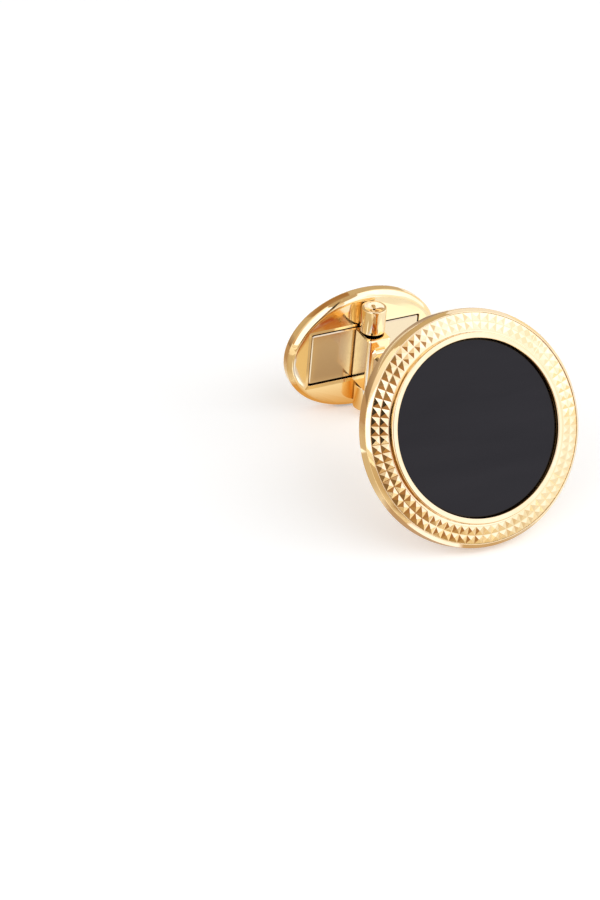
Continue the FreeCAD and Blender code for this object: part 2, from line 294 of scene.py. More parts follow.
def place_piece(name, shape, place, body, node, finish, smooth=True):
    """Turn a bmesh in millimetres into a finished piece that rides on a body and stands for a node."""
    shape.transform(place)
    bmesh.ops.recalc_face_normals(shape, faces=shape.faces[:])
    for edge in shape.edges:
        edge.smooth = edge.calc_face_angle(pi) < crease_angle
    mesh = bpy.data.meshes.new(name)
    shape.to_mesh(mesh)
    shape.free()
    mesh.materials.append(finish)
    piece = add_object(name, mesh)
    if smooth:
        mesh.polygons.foreach_set("use_smooth", [True] * len(mesh.polygons))
        even = piece.modifiers.new("even_shading", "WEIGHTED_NORMAL")
        even.weight = flat_weight
        even.keep_sharp = True
    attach(piece, body)
    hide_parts(node)
    print(name, "has", len(mesh.polygons), "faces")


# %% [markdown]
# ## No edge is truly sharp
# On the polishing wheel every corner of a piece gets a tiny round, and that round is what catches the light. A
# Bevel modifier could add it to a finished mesh. We round the profile before it becomes a mesh instead: each
# corner of a drawn line is replaced by a short arc, with a radius of its own where one is given. An arc takes up
# less than half of either edge, so neighbours can't run into each other.

# %% Soften a profile
edge_limit = 0.45


def soften(corners, radius=0.0, steps=5):
    """Round the corners of an open profile. A corner may carry its own radius; with 0 it stays as it is."""
    points = [Vector(corner[:2]) for corner in corners]
    softened = [points[0]]
    for index in range(1, len(points) - 1):
        here = points[index]
        own = corners[index][2] if len(corners[index]) > 2 else radius
        if own == 0:
            softened.append(here)
            continue
        back = points[index - 1] - here
        ahead = points[index + 1] - here
        angle = back.angle(ahead)
        reach = min(own / tan(angle / 2), edge_limit * back.length, edge_limit * ahead.length)
        start = here + back.normalized() * reach
        end = here + ahead.normalized() * reach
        inward = (back.normalized() + ahead.normalized()).normalized()
        centre = here + inward * (reach / cos(angle / 2))
        first = start - centre
        last = end - centre
        sweep = atan2(first.x * last.y - first.y * last.x, first.dot(last))
        for step in range(steps + 1):
            turn_by = sweep * step / steps
            softened.append(centre + Vector((first.x * cos(turn_by) - first.y * sin(turn_by),
                                             first.x * sin(turn_by) + first.y * cos(turn_by))))
    softened.append(points[-1])
    return softened


print("one softened corner has", len(soften([(0, 0), (1, 0), (1, 1)], 0.1)) - 2, "points")

# %% [markdown]
# ## A small lathe
# Most pieces of this cufflink are turned: each is a profile spun round an axis. Blender's Screw modifier could do
# the spinning, but with our own loop we know every vertex, can close a ring or end it in a single point on the
# axis, and can use the same steps for shapes that no lathe can make.

# %% Turn a profile


def join_rings(shape, ring, following):
    """Faces between two rings of vertices, either of which may be a single point."""
    count = max(len(ring), len(following))
    for index in range(count):
        after = (index + 1) % count
        if len(ring) == 1:
            corners = (ring[0], following[index], following[after])
        elif len(following) == 1:
            corners = (ring[index], ring[after], following[0])
        else:
            corners = (ring[index], ring[after], following[after], following[index])
        shape.faces.new(corners)


def join_all(shape, rings):
    """Faces between each ring of vertices and the next one."""
    for ring, following in zip(rings, rings[1:]):
        join_rings(shape, ring, following)


def spin_rings(shape, profile, segments):
    """One ring of vertices for each profile point, or one vertex on the axis."""
    rings = []
    for radius, height in profile:
        if radius < 1e-6:
            rings.append([shape.verts.new((0, 0, height))])
            continue
        ring = []
        for step in range(segments):
            angle = 2 * pi * step / segments
            ring.append(shape.verts.new((radius * cos(angle), radius * sin(angle), height)))
        rings.append(ring)
    return rings


def turn(profile, segments=240, closed=False):
    """Spin a profile about Z; a closed profile joins its last point to its first."""
    shape = bmesh.new()
    rings = spin_rings(shape, profile, segments)
    join_all(shape, rings)
    if closed:
        join_rings(shape, rings[-1], rings[0])
    return shape


print("the lathe is ready")

# %% [markdown]
# ## The stone
# The inlay is a flat disc, 13.5 mm across. It lies a little below the ring that holds it, so the ring's inner
# wall is mirrored as a dark crescent along one side of the black face. Lapidaries always break the edge of a
# polished disc, or it would chip, so its rim has a narrow bevel.

# %% Onyx disc
stone_radius = 6.73
stone_thickness = 1.2
stone_bevel = 0.12
stone_recess = 0.20
stone_edge_round = 0.05
head_segments = 288

stone_profile = soften([
    (0, -stone_thickness),
    (stone_radius, -stone_thickness),
    (stone_radius, -stone_recess - stone_bevel),
    (stone_radius - stone_bevel, -stone_recess),
    (0, -stone_recess),
], stone_edge_round)
place_piece("onyx_stone", turn(stone_profile, head_segments), head_place, "head", "onyx_disc", black_onyx)

# %% [markdown]
# ## The collet
# A collet is the ring that holds a stone. This one has a seat below and a raised wall whose top was polished to a
# soft crown, and it is the brightest line of the whole head. We draw one closed profile and let the crown's two
# corners have a larger radius than the hidden ones.

# %% Collet ring
stone_gap = 0.02
collet_wall = 0.45
seat_width = 0.55
seat_thickness = 0.4
crown_outer_round = 0.10
crown_inner_round = 0.07
seat_round = 0.03
collet_inner = stone_radius + stone_gap
collet_outer = collet_inner + collet_wall
collet_bottom = -stone_thickness - seat_thickness

collet_profile = soften([
    (collet_inner - seat_width, -stone_thickness),
    (collet_inner - seat_width, collet_bottom),
    (collet_outer, collet_bottom),
    (collet_outer, collet_rise, crown_outer_round),
    (collet_inner, collet_rise, crown_inner_round),
    (collet_inner, -stone_thickness),
], seat_round)
collet_shape = turn(collet_profile, head_segments, closed=True)
place_piece("collet", collet_shape, head_place, "head", "collet_ring", seam_gold)

# %% [markdown]
# ## The hobnail band
# This is the ornament of the piece: two rows of small four-sided pyramids, 75 to a row, on a band that slopes
# gently outwards. On the real ring they are cut or pressed, then polished, so each pyramid has flat mirror
# facets, a tip that is rubbed a little flat, and a narrow bright valley round its foot. We first lay out the band
# and a function that gives the corners of one pyramid at any height.

# %% Lay out the band
pyramid_count = 75
row_count = 2
row_width = 0.65
pyramid_flank = 0.23
band_depth = 0.21
band_fall = tan(radians(14.5))
land_width = 0.15
ring_base = 0.55
ring_seam = 0.015
valley_width = 0.05
tip_width = 0.03
ring_inner = collet_outer + ring_seam
band_inner = ring_inner + land_width
band_outer = band_inner + row_count * row_width
band_edge = -band_depth - band_fall * row_count * row_width
ring_bottom = band_edge - ring_base
pyramid_step = 2 * pi / pyramid_count
print("the band runs from", round(band_inner, 2), "to", round(band_outer, 2), "mm from the axis")

# %% Corners of a pyramid


def on_band(radius, angle, lift):
    """Point on the sloping band, or a little above it."""
    height = -band_depth - band_fall * (radius - band_inner) + lift
    return Vector((radius * cos(angle), radius * sin(angle), height))


def pyramid_corners(row, index, inset, lift):
    """The four corners of one square of a pyramid, seen from outside the ring."""
    inner = band_inner + row * row_width
    outer = inner + row_width
    middle = (inner + outer) / 2
    first = index * pyramid_step
    last = first + pyramid_step
    turn_inset = inset / middle
    return [
        on_band(inner + inset, first + turn_inset, lift),
        on_band(inner + inset, last - turn_inset, lift),
        on_band(outer - inset, last - turn_inset, lift),
        on_band(outer - inset, first + turn_inset, lift),
    ]


print("the first pyramid starts at", [round(v, 3) for v in pyramid_corners(0, 0, 0, 0)[0]])

# %% [markdown]
# ## Cut the pyramids
# A bump texture could never flash like this ring: each facet must really face its own way. So we build every
# facet as geometry, with flat shading. Three squares make a pyramid: its place on the band, the foot inside the
# valley, and the small tip. The plain body below closes the ring, and a weld joins the neighbours.

# %% Hobnail ring
weld_distance = 0.0005


def make_hobnails():
    """The band with its pyramids, the inner land, and the plain body below."""
    shape = bmesh.new()
    crest = row_width / 2 * pyramid_flank
    levels = ((0, 0), (valley_width / 2, 0), ((row_width - tip_width) / 2, crest))
    for row in range(row_count):
        for index in range(pyramid_count):
            squares = []
            for inset, lift in levels:
                corners = pyramid_corners(row, index, inset, lift)
                squares.append([shape.verts.new(corner) for corner in corners])
            join_all(shape, squares)
            shape.faces.new(squares[-1])
    body = [
        (band_inner, -band_depth),
        (ring_inner, -band_depth),
        (ring_inner, ring_bottom),
        (band_outer, ring_bottom),
        (band_outer, band_edge),
    ]
    join_all(shape, spin_rings(shape, body, pyramid_count))
    bmesh.ops.remove_doubles(shape, verts=shape.verts[:], dist=weld_distance)
    return shape


place_piece("hobnails", make_hobnails(), head_place, "head", "hobnail_ring", seam_gold, smooth=False)
print(pyramid_count * row_count, "pyramids,", row_width, "mm wide")

# %% [markdown]
# ## The bezel
# The outer ring ties the head together: a narrow polished rim, a straight side wall, and a bevel at the back. It
# is stepped inside, where the hobnail ring, the collet and the back plate sit. The rim's slope is what throws the
# white line along the head's left side, so its corners stay crisp.

# %% Bezel
rim_width = 0.32
rim_rise = 0.04
rim_land = 0.05
rim_drop = 0.30
wall_depth = 1.85
rear_bevel = 0.40
back_plate_margin = 0.50
rim_edge_round = 0.04
wall_top_round = 0.12
wall_rear_round = 0.10
rear_edge_round = 0.08
bore_round = 0.03
hidden_round = 0.02
rim_inner = band_outer + ring_seam
face_radius = rim_inner + rim_width
rim_top = band_edge + rim_rise
wall_top = rim_top - rim_drop
rear_face = -wall_depth - rear_bevel
back_plate_radius = face_radius - rear_bevel - back_plate_margin
plate_bore = back_plate_radius + ring_seam

bezel_profile = soften([
    (rim_inner, ring_bottom),
    (rim_inner, rim_top),
    (rim_inner + rim_land, rim_top, rim_edge_round),
    (face_radius, wall_top, wall_top_round),
    (face_radius, -wall_depth, wall_rear_round),
    (face_radius - rear_bevel, rear_face, rear_edge_round),
    (plate_bore, rear_face, bore_round),
    (plate_bore, collet_bottom),
    (ring_inner, collet_bottom),
    (ring_inner, ring_bottom),
], hidden_round)
bezel_shape = turn(bezel_profile, head_segments, closed=True)
place_piece("bezel_ring", bezel_shape, head_place, "head", "bezel", seam_gold)

# %% [markdown]
# ## The back of the head
# Behind the stone a plain disc closes the head, and a small round pad carries the post. Both are hidden in most
# views, but someone who turns the cufflink over should find a clean polished back.

# %% Back plate and foot of the post
back_plate_thickness = 0.65
back_plate_round = 0.07
foot_thickness = 0.4
foot_radius = 2.30
foot_round = 0.12
foot_joint_round = 0.01
back_plate_rear = collet_bottom - back_plate_thickness
foot_rear = back_plate_rear - foot_thickness

plate_profile = soften([
    (0, back_plate_rear),
    (back_plate_radius, back_plate_rear, back_plate_round),
    (back_plate_radius, collet_bottom, hidden_round),
    (0, collet_bottom),
])
place_piece("back_disc", turn(plate_profile), head_place, "head", "back_plate", polished_gold)

foot_profile = soften([
    (0, foot_rear),
    (foot_radius, foot_rear, foot_round),
    (foot_radius, back_plate_rear, foot_joint_round),
    (0, back_plate_rear),
])
place_piece("post_pad", turn(foot_profile, segments=160), head_place, "head", "post_foot", polished_gold)

# %% [markdown]
# ## The toggle's outline
# The toggle is an oval, and an oval can't come off our lathe. The idea stays the same: we carry a profile round
# an ellipse, and each point of the profile says how far it lies inside the outline and how deep it is, counted
# back from the hinge pin. The front edge is rounded in two arcs: a wide one at the wall gives a broad highlight,
# and a tight one at the plate gives a thin line.

# %% Oval rings and the rounded rim
toggle_half_length = 6.48
toggle_half_height = 5.12
rim_arcs = ((1.5, 68, 50), (0.337, 50, 0))
knuckle_radius = 0.98
knuckle_sink = 0.02
plate_thickness = 0.55
plate_front = knuckle_radius - knuckle_sink
plate_rear = plate_front + plate_thickness


def oval_ring(shape, inset, depth, segments):
    """A ring of vertices inside the toggle's outline."""
    ring = []
    for step in range(segments):
        angle = 2 * pi * step / segments
        ring.append(shape.verts.new(((toggle_half_length - inset) * cos(angle), depth,
                                     (toggle_half_height - inset) * sin(angle))))
    return ring


def rim_round(steps=8):
    """Points of the rim's front edge, from the wall to the plate. Each arc has a radius and two tilts."""
    points = [(0.0, 0.0)]
    for radius, first_tilt, last_tilt in rim_arcs:
        inset, depth = points[-1]
        first = radians(first_tilt)
        for step in range(1, steps + 1):
            tilt = first + radians(last_tilt - first_tilt) * step / steps
            points.append((inset + radius * (sin(first) - sin(tilt)),
                           depth - radius * (cos(tilt) - cos(first))))
    front = points[-1][1]
    return [(inset, plate_front + depth - front) for inset, depth in points]


front_edge = rim_round()
print("the rim's round is", round(front_edge[-1][0], 3), "mm wide and",
      round(front_edge[0][1] - front_edge[-1][1], 3), "mm deep")

# %% [markdown]
# ## The toggle's shell
# The shell is a shallow cup: a wall, a ledge for the plate, a hollow that gives the spring room, and a flat back
# with a rounded edge. Pressed metal would have one wall thickness; this cup is cast, so wall and floor differ.
# Its profile runs from the back round the rim and into the cup, and a single point closes each end.

# %% Toggle shell
toggle_rim_wall = 0.5
toggle_ledge = 0.35
spring_room = 0.29
shell_floor = 0.45
shell_back_round = 0.28
shell_wall_round = 0.05
ledge_round = 0.02
flat_inset = 1.6
round_steps = 9
oval_segments = 240
cavity_rear = plate_rear + spring_room
shell_rear = cavity_rear + shell_floor


def make_shell():
    """The oval cup, closed by a floor in front and a back behind."""
    shape = bmesh.new()
    floor_edge = toggle_rim_wall + toggle_ledge
    profile = soften([
        (flat_inset, shell_rear),
        (0, shell_rear, shell_back_round),
        front_edge[0],
        *((inset, depth, 0) for inset, depth in front_edge[1:]),
        (toggle_rim_wall, plate_rear, ledge_round),
        (floor_edge, plate_rear, ledge_round),
        (floor_edge, cavity_rear),
        (flat_inset, cavity_rear),
    ], shell_wall_round, round_steps)
    rings = [[shape.verts.new((0, shell_rear, 0))]]
    rings += [oval_ring(shape, inset, depth, oval_segments) for inset, depth in profile]
    rings.append([shape.verts.new((0, cavity_rear, 0))])
    join_all(shape, rings)
    return shape


place_piece("toggle_cup", make_shell(), hinge_place, "toggle", "toggle_shell", polished_gold)

# %% [markdown]
# ## The toggle's plate
# A flat oval plate drops into the cup, and its rectangular window shows the click spring. A shallow border slopes
# down to the window, so a fine line frames it. A Boolean modifier would cut the window, but it leaves untidy
# edges in mirror metal. We draw both outlines instead and fill the flat between them with triangles.

# %% The window's outline
window_half_length = 4.70
window_half_height = 2.33
window_corner = 0.15


def window_ring(shape, grow, depth, corner_steps=6):
    """A ring of vertices round the window, with rounded corners."""
    ring = []
    for corner, (right, upper) in enumerate(((1, 1), (-1, 1), (-1, -1), (1, -1))):
        centre_x = right * (window_half_length + grow - window_corner)
        centre_z = upper * (window_half_height + grow - window_corner)
        for step in range(corner_steps + 1):
            angle = pi / 2 * (corner + step / corner_steps)
            ring.append(shape.verts.new((centre_x + window_corner * cos(angle), depth,
                                         centre_z + window_corner * sin(angle))))
    return ring


print("the window is", 2 * window_half_length, "by", 2 * window_half_height, "mm")

# %% Toggle plate
plate_seam = 0.001
plate_edge_round = 0.002
window_round = 0.03
border_width = 0.27
border_fall = 0.048
flat_margin = 0.2


def loop_edges(shape, ring):
    """The edges that join a ring of vertices."""
    return [shape.edges.get((first, second)) for first, second in zip(ring, ring[1:] + ring[:1])]


def make_plate():
    """Oval plate with a window in a sloping border."""
    shape = bmesh.new()
    edge = toggle_rim_wall + plate_seam
    outer_corners = [(edge + flat_margin, plate_front), (edge, plate_front), (edge, plate_rear)]
    outer_profile = soften(outer_corners, plate_edge_round)
    inner_profile = soften([
        (border_width + flat_margin, plate_front),
        (border_width, plate_front),
        (0, plate_front + border_fall),
        (0, plate_rear),
    ], window_round)
    outer = [oval_ring(shape, inset, depth, oval_segments) for inset, depth in outer_profile[1:]]
    inner = [window_ring(shape, grow, depth) for grow, depth in inner_profile[1:]]
    join_all(shape, outer)
    join_all(shape, inner)
    for index in (0, -1):
        outlines = loop_edges(shape, outer[index]) + loop_edges(shape, inner[index])
        bmesh.ops.triangle_fill(shape, edges=outlines, use_beauty=True)
    return shape


place_piece("window_plate", make_plate(), hinge_place, "toggle", "toggle_plate", seam_gold)

# %% [markdown]
# ## The knuckles
# Two short tubes, the knuckles, are brazed to the plate above and below the post's eye, and the pin runs through
# all three. They are lathe pieces again, about the hinge axis. Each tube is countersunk at its outer end, where
# the pin is spread into it. The lower knuckle is the upper one turned over.

# %% Knuckles
knuckle_start = 2.45
knuckle_end = 4.51
pin_radius = 0.5
pin_fit = 0.005
flare_radius = 0.82
flare_depth = 0.30
bore_start = 0.4
bore_edge_round = 0.04
knuckle_inner_round = 0.07
knuckle_outer_round = 0.10
mouth_round = 0.02
bore_radius = pin_radius + pin_fit
turned_over = hinge_place @ Matrix.Rotation(pi, 4, "X")

knuckle_profile = soften([
    (bore_radius, knuckle_start + bore_start),
    (bore_radius, knuckle_start, bore_edge_round),
    (knuckle_radius, knuckle_start, knuckle_inner_round),
    (knuckle_radius, knuckle_end, knuckle_outer_round),
    (flare_radius + pin_fit, knuckle_end, mouth_round),
    (bore_radius, knuckle_end - flare_depth),
])
for name, node, place in (("knuckle_above", "upper_knuckle", hinge_place),
                          ("knuckle_below", "lower_knuckle", turned_over)):
    place_piece(name, turn(knuckle_profile, segments=120, closed=True), place, "toggle", node, polished_gold)

# %% [markdown]
# ## The pin
# The pin is flared into the knuckles at both ends, and the punch that spread it left a cone in each end with a
# dot at its tip. Both halves are alike, so we draw the upper half of the profile and mirror it.

# %% Hinge pin
dimple_radius = 0.78
dimple_depth = 0.22
dot_radius = 0.10
dot_depth = 0.15
dot_round = 0.01
lip_round = 0.02
neck_round = 0.05
dot_bottom = knuckle_end - dimple_depth - dot_depth

half_pin = [
    (dot_radius, dot_bottom, dot_round),
    (dot_radius, knuckle_end - dimple_depth, dot_round),
    (dimple_radius, knuckle_end, lip_round),
    (flare_radius, knuckle_end, lip_round),
    (pin_radius, knuckle_end - flare_depth, neck_round),
]
other_half = [(radius, -height, own) for radius, height, own in reversed(half_pin)]
pin_profile = soften([(0, dot_bottom)] + half_pin + other_half + [(0, -dot_bottom)])
place_piece("swivel_pin", turn(pin_profile, segments=96), hinge_place, "toggle", "hinge_pin", polished_gold)

# %% [markdown]
# ## Post and click spring
# The bent post and the spring leaf are right as they come from the construction model, so they stay, and only
# their shading and finish change. A small node group welds their triangles, shades them smooth, and keeps an edge
# sharp where two faces meet at a real corner. Weighted normals then keep the flats flat.

# %% Corner shading
corner_angle = radians(25)
touching = 0.000001


def make_corner_shading():
    """Node group: weld the mesh and shade it smooth, except across real corners."""
    group = bpy.data.node_groups.new("corner_shading", "GeometryNodeTree")
    for direction in ("INPUT", "OUTPUT"):
        group.interface.new_socket("Geometry", in_out=direction, socket_type="NodeSocketGeometry")
    source = add_node(group, "NodeGroupInput")
    result = add_node(group, "NodeGroupOutput")
    weld = add_node(group, "GeometryNodeMergeByDistance", {"Distance": touching})
    smooth = add_node(group, "GeometryNodeSetShadeSmooth")
    angle = add_node(group, "GeometryNodeInputMeshEdgeAngle")
    corner = add_node(group, "FunctionNodeCompare", {"B": corner_angle})
    corner.operation = "GREATER_THAN"
    crease = add_node(group, "GeometryNodeSetShadeSmooth", {"Shade Smooth": False})
    crease.domain = "EDGE"
    steps = (source, weld, smooth, crease, result)
    for step, following in zip(steps, steps[1:]):
        group.links.new(step.outputs["Geometry"], following.inputs["Geometry"])
    group.links.new(angle.outputs["Unsigned Angle"], corner.inputs["A"])
    group.links.new(corner.outputs["Result"], crease.inputs["Selection"])
    return group


corner_shading = make_corner_shading()
print(corner_shading.name, "has", len(corner_shading.nodes), "nodes")

# %% Finish the pieces that stay
for node_name, finish in (("post", polished_gold), ("click_spring", spring_gold)):
    kept = frame["nodes"][node_name]
    for material_slot in kept.material_slots:
        material_slot.material = finish
    kept.modifiers.new("corner_shading", "NODES").node_group = corner_shading
    even = kept.modifiers.new("even_shading", "WEIGHTED_NORMAL")
    even.keep_sharp = True
    print(node_name, "keeps its shape and takes", finish.name)

# %% [markdown]
# ## The table
# The table is a plain pale surface. Its own diffuse light keeps the soft shadow under the cufflink, and a little
# glow lifts it to white. More light would bleach the shadow too, so the glow is only for rays that look at the
# table: those from the camera, from mirrors and through glass.

# %% Table
table_glow = 0.27
half_table = 2.0
table_grey = 0.86


def seen_rays(tree):
    """A value of 1 for rays that show the background: camera, mirror and glass rays."""
    rays = add_node(tree, "ShaderNodeLightPath").outputs
    seen = combine(tree, "MAXIMUM", rays["Is Camera Ray"], rays["Is Glossy Ray"])
    return combine(tree, "MAXIMUM", seen, rays["Is Transmission Ray"])


table_white, table_tree, table_shader = new_material("table_white", {
    "Base Color": (table_grey, table_grey, table_grey, 1),
    "Roughness": 0.9,
    "Specular IOR Level": 0.0,
    "Emission Color": (1, 1, 1, 1),
})
glow = spread(table_tree, seen_rays(table_tree), 0.0, table_glow, 0.0, 1.0)
table_tree.links.new(glow, table_shader.inputs["Emission Strength"])

table_mesh = bpy.data.meshes.new("table")
table_corners = [(x * half_table, y * half_table, 0) for x, y in ((-1, -1), (1, -1), (1, 1), (-1, 1))]
table_mesh.from_pydata(table_corners, [], [(0, 1, 2, 3)])
table_mesh.materials.append(table_white)
table = add_object("table", table_mesh)
print("the table is", 2 * half_table, "m wide")

# %% [markdown]
# ## The white surroundings
# The background does the same as the table: white to look at and in reflections, but a plain soft level for the
# light that it gives. A picture of a room would light the scene too, but its windows would show in the gold.

# %% Background
ambient = 0.5
world = bpy.data.worlds.new("white_tent")
bpy.context.scene.world = world
world.use_nodes = True
world_tree = world.node_tree
background = world_tree.nodes["Background"]
background.inputs["Color"].default_value = (1, 1, 1, 1)
level = spread(world_tree, seen_rays(world_tree), ambient, 1.0, 0.0, 1.0)
world_tree.links.new(level, background.inputs["Strength"])
print("the background is white, ambient light is", ambient)

# %% [markdown]
# ## Soft boxes
# Jewellery is photographed in a white tent, with the lamps outside it. Four large soft boxes stand for that
# light: right, front, above and left. They light the table and shape the soft shadow, but mirrors don't see them,
# because in polished gold a lamp is a hard white rectangle. Each box is placed by its direction from the
# cufflink, which is easier to judge than coordinates.

# %% Four soft boxes
soft_boxes = (
    ("right_box", (74, 22), 0.45, (0.32, 0.40), 1.9),
    ("front_box", (32, 18), 0.45, (0.30, 0.24), 1.7),
    ("top_box", (20, 58), 0.50, (0.50, 0.22), 1.25),
    ("left_box", (-71, 28), 0.45, (0.48, 0.34), 1.7),
)


def towards(azimuth_deg, elevation_deg):
    """Direction from the cufflink; azimuth 0 is in front, 90 is to the right."""
    azimuth = radians(azimuth_deg)
    elevation = radians(elevation_deg)
    return Vector((sin(azimuth) * cos(elevation), -cos(azimuth) * cos(elevation), sin(elevation)))


def add_soft_box(name, direction, distance, size, radiance):
    """Rectangular lamp of a given size in metres and a given brightness, aimed at the cufflink."""
    lamp = bpy.data.lights.new(name, "AREA")
    lamp.shape = "RECTANGLE"
    lamp.size, lamp.size_y = size
    lamp.energy = radiance * pi * size[0] * size[1]
    box = add_object(name, lamp)
    box.location = direction * distance
    box.rotation_mode = "QUATERNION"
    box.rotation_quaternion = direction.to_track_quat("Z", "Y")
    box.visible_glossy = False


for name, (azimuth, elevation), distance, size, radiance in soft_boxes:
    add_soft_box(name, towards(azimuth, elevation), distance, size, radiance)
    print(name, "at", azimuth, elevation, "degrees")

# %% [markdown]
# ## Cards that only the metal sees
# Polished metal in a plain white tent looks flat, so a photographer sets white and dark cards round a jewel and
# studies them in the metal. Ours glow by themselves, in a colour that is stored at their corners, and a corner
# may be clear, which gives a card a soft edge. The camera doesn't see them, and they give no light and no shadow.

# %% Card paint


def reflection_paint(name):
    """Paint for a card: it glows in the colour stored at its corners and reflects nothing itself."""
    dull_black = {"Base Color": (0, 0, 0, 1), "Specular IOR Level": 0.0, "Emission Strength": 1.0}
    paint, tree, shader = new_material(name, dull_black)
    stored = add_node(tree, "ShaderNodeAttribute")
    stored.attribute_name = "glow"
    tree.links.new(stored.outputs["Color"], shader.inputs["Emission Color"])
    tree.links.new(stored.outputs["Alpha"], shader.inputs["Alpha"])
    return paint


card_paint = reflection_paint("card_paint")
print("cards are painted with", card_paint.name)

# %% Mount a card


def grid_faces(rows, columns):
    """Faces of a grid of vertices that are listed row by row."""
    faces = []
    for row in range(rows - 1):
        for column in range(columns - 1):
            first = row * columns + column
            faces.append((first, first + 1, first + columns + 1, first + columns))
    return faces


def show_only_in_reflections(name, corners, faces, colours):
    """Card that only mirrors see; each corner has a colour and an opacity."""
    mesh = bpy.data.meshes.new(name)
    mesh.from_pydata(corners, [], faces)
    glow_layer = mesh.color_attributes.new("glow", "FLOAT_COLOR", "POINT")
    for entry, colour in zip(glow_layer.data, colours):
        entry.color = colour
    mesh.materials.append(card_paint)
    card = add_object(name, mesh)
    card.visible_camera = False
    card.visible_diffuse = False
    card.visible_transmission = False
    card.visible_shadow = False


print("a card of 4 by 4 corners has", len(grid_faces(4, 4)), "faces")

# %% [markdown]
# ## The tent and its dark gaps
# These cards bend round the cufflink like the walls of a tent. The bright ones on the right and the left make the
# cream facets and the white lines on the rims. The dark strip is where the lens looks in, and every facet that
# faces us turns dark with it. Brown cards beside and below it give the brown facets, and sand behind colours the
# walls. A row has a card's azimuths and elevations and its colour, or two, for the bottom and the top; a nearer
# card also has its distance. A bright colour leans to blue, so that yellow gold mirrors it as white.

# %% Colours and places of the curved cards
bright = (1.15, 1.26, 1.62)
brighter = (1.25, 1.42, 2.10)
brightest = (1.60, 1.85, 2.80)
pearl = (1.0, 1.10, 1.50)
brown = (0.43, 0.25, 0.13)
deep_brown = (0.40, 0.22, 0.10)
dark_brown = (0.25, 0.17, 0.10)
black = (0.05, 0.043, 0.036)
sand = (0.62, 0.54, 0.44)
tent_distance = 0.28

tent_cards = (
    ("front_tent", (6, 35), (-4, 58), brighter),
    ("middle_tent", (35, 58), (-4, 58), bright),
    ("low_right_tent", (58, 77), (-4, 26), bright),
    ("high_right_tent", (58, 77), (26, 58), brightest),
    ("right_tent", (77, 106), (-4, 58), brighter, brightest),
    ("upper_tent", (6, 106), (58, 74), brightest, brighter),
    ("top_tent", (-20, 6), (48, 74), bright, (0.90, 0.82, 0.76)),
    ("left_tent", (-86, -41), (6, 74), brightest),
    ("left_end", (-128, -86), (6, 74), (0.64, 0.45, 0.28), (1.30, 1.40, 1.70)),
    ("ceiling", (-180, 180), (74, 89), (0.58, 0.48, 0.38)),
    ("lens_card", (-41, -20), (23, 45), black),
    ("lens_middle", (-41, -20), (45, 66), (0.33, 0.23, 0.14)),
    ("stand_card", (-41, -20), (-4, 23), dark_brown),
    ("warm_card", (-20, 6), (-8, 38), brown),
    ("warm_top", (-20, 6), (38, 48), brown, (1.05, 1.10, 1.25)),
    ("back_card", (134, 235), (-2, 74), sand),
    ("right_back_card", (112, 134), (22, 58), pearl),
    ("high_back_card", (112, 134), (58, 74), (0.51, 0.385, 0.24)),
)
nearer_cards = (
    (0.27, "rim_card", (134, 141), (44, 58), pearl),
    (0.27, "lens_top", (-41, -20), (66, 84), black),
    (0.26, "brown_low_card", (164, 208), (20, 38), sand, deep_brown),
    (0.26, "brown_high_card", (164, 208), (38, 58), deep_brown, sand),
    (0.05, "low_card", (150, 232), (0, 12), (0.32, 0.23, 0.16), (0.55, 0.46, 0.40)),
)
print(len(tent_cards), "cards make the tent,", len(nearer_cards), "stand inside it")

# %% Bend the cards


def add_curved_card(name, azimuths, elevations, low, high=None, distance=tent_distance, steps=16):
    """Card bent round the cufflink; its colour runs from low at the bottom to high at the top."""
    bottom = Vector(low)
    top = Vector(high or low)
    corners = []
    colours = []
    for row in range(steps + 1):
        for column in range(steps + 1):
            azimuth = azimuths[0] + (azimuths[1] - azimuths[0]) * column / steps
            elevation = elevations[0] + (elevations[1] - elevations[0]) * row / steps
            corners.append(towards(azimuth, elevation) * distance)
            colours.append((*bottom.lerp(top, row / steps), 1))
    show_only_in_reflections(name, corners, grid_faces(steps + 1, steps + 1), colours)


for card in tent_cards:
    add_curved_card(*card)
for distance, *card in nearer_cards:
    add_curved_card(*card, distance=distance)
print("the tent's cards stand", tent_distance, "m away")

# %% [markdown]
# ## Cards on the table
# The toggle's plate and the spring's pad mirror the strip of table between head and toggle, and the head's lower
# edge mirrors the table in front of it. On a real table these places hold the soft shadow under the head and the
# toggle, and warm light that the gold throws down and back again. The cards are painted shade and painted light
# in their place, with soft edges, so that no straight line in the metal gives them away. A straight card has its
# ends in x, its near and far line in y, in millimetres, and one colour. A fitted card has ends and a colour of its
# own at each line. Later cards lie a hair above earlier ones.

# %% Colours and places of the table cards
edge_share = 0.12
widest_edge = 4.0
lowest_lift = 0.04
lift_step = 0.005
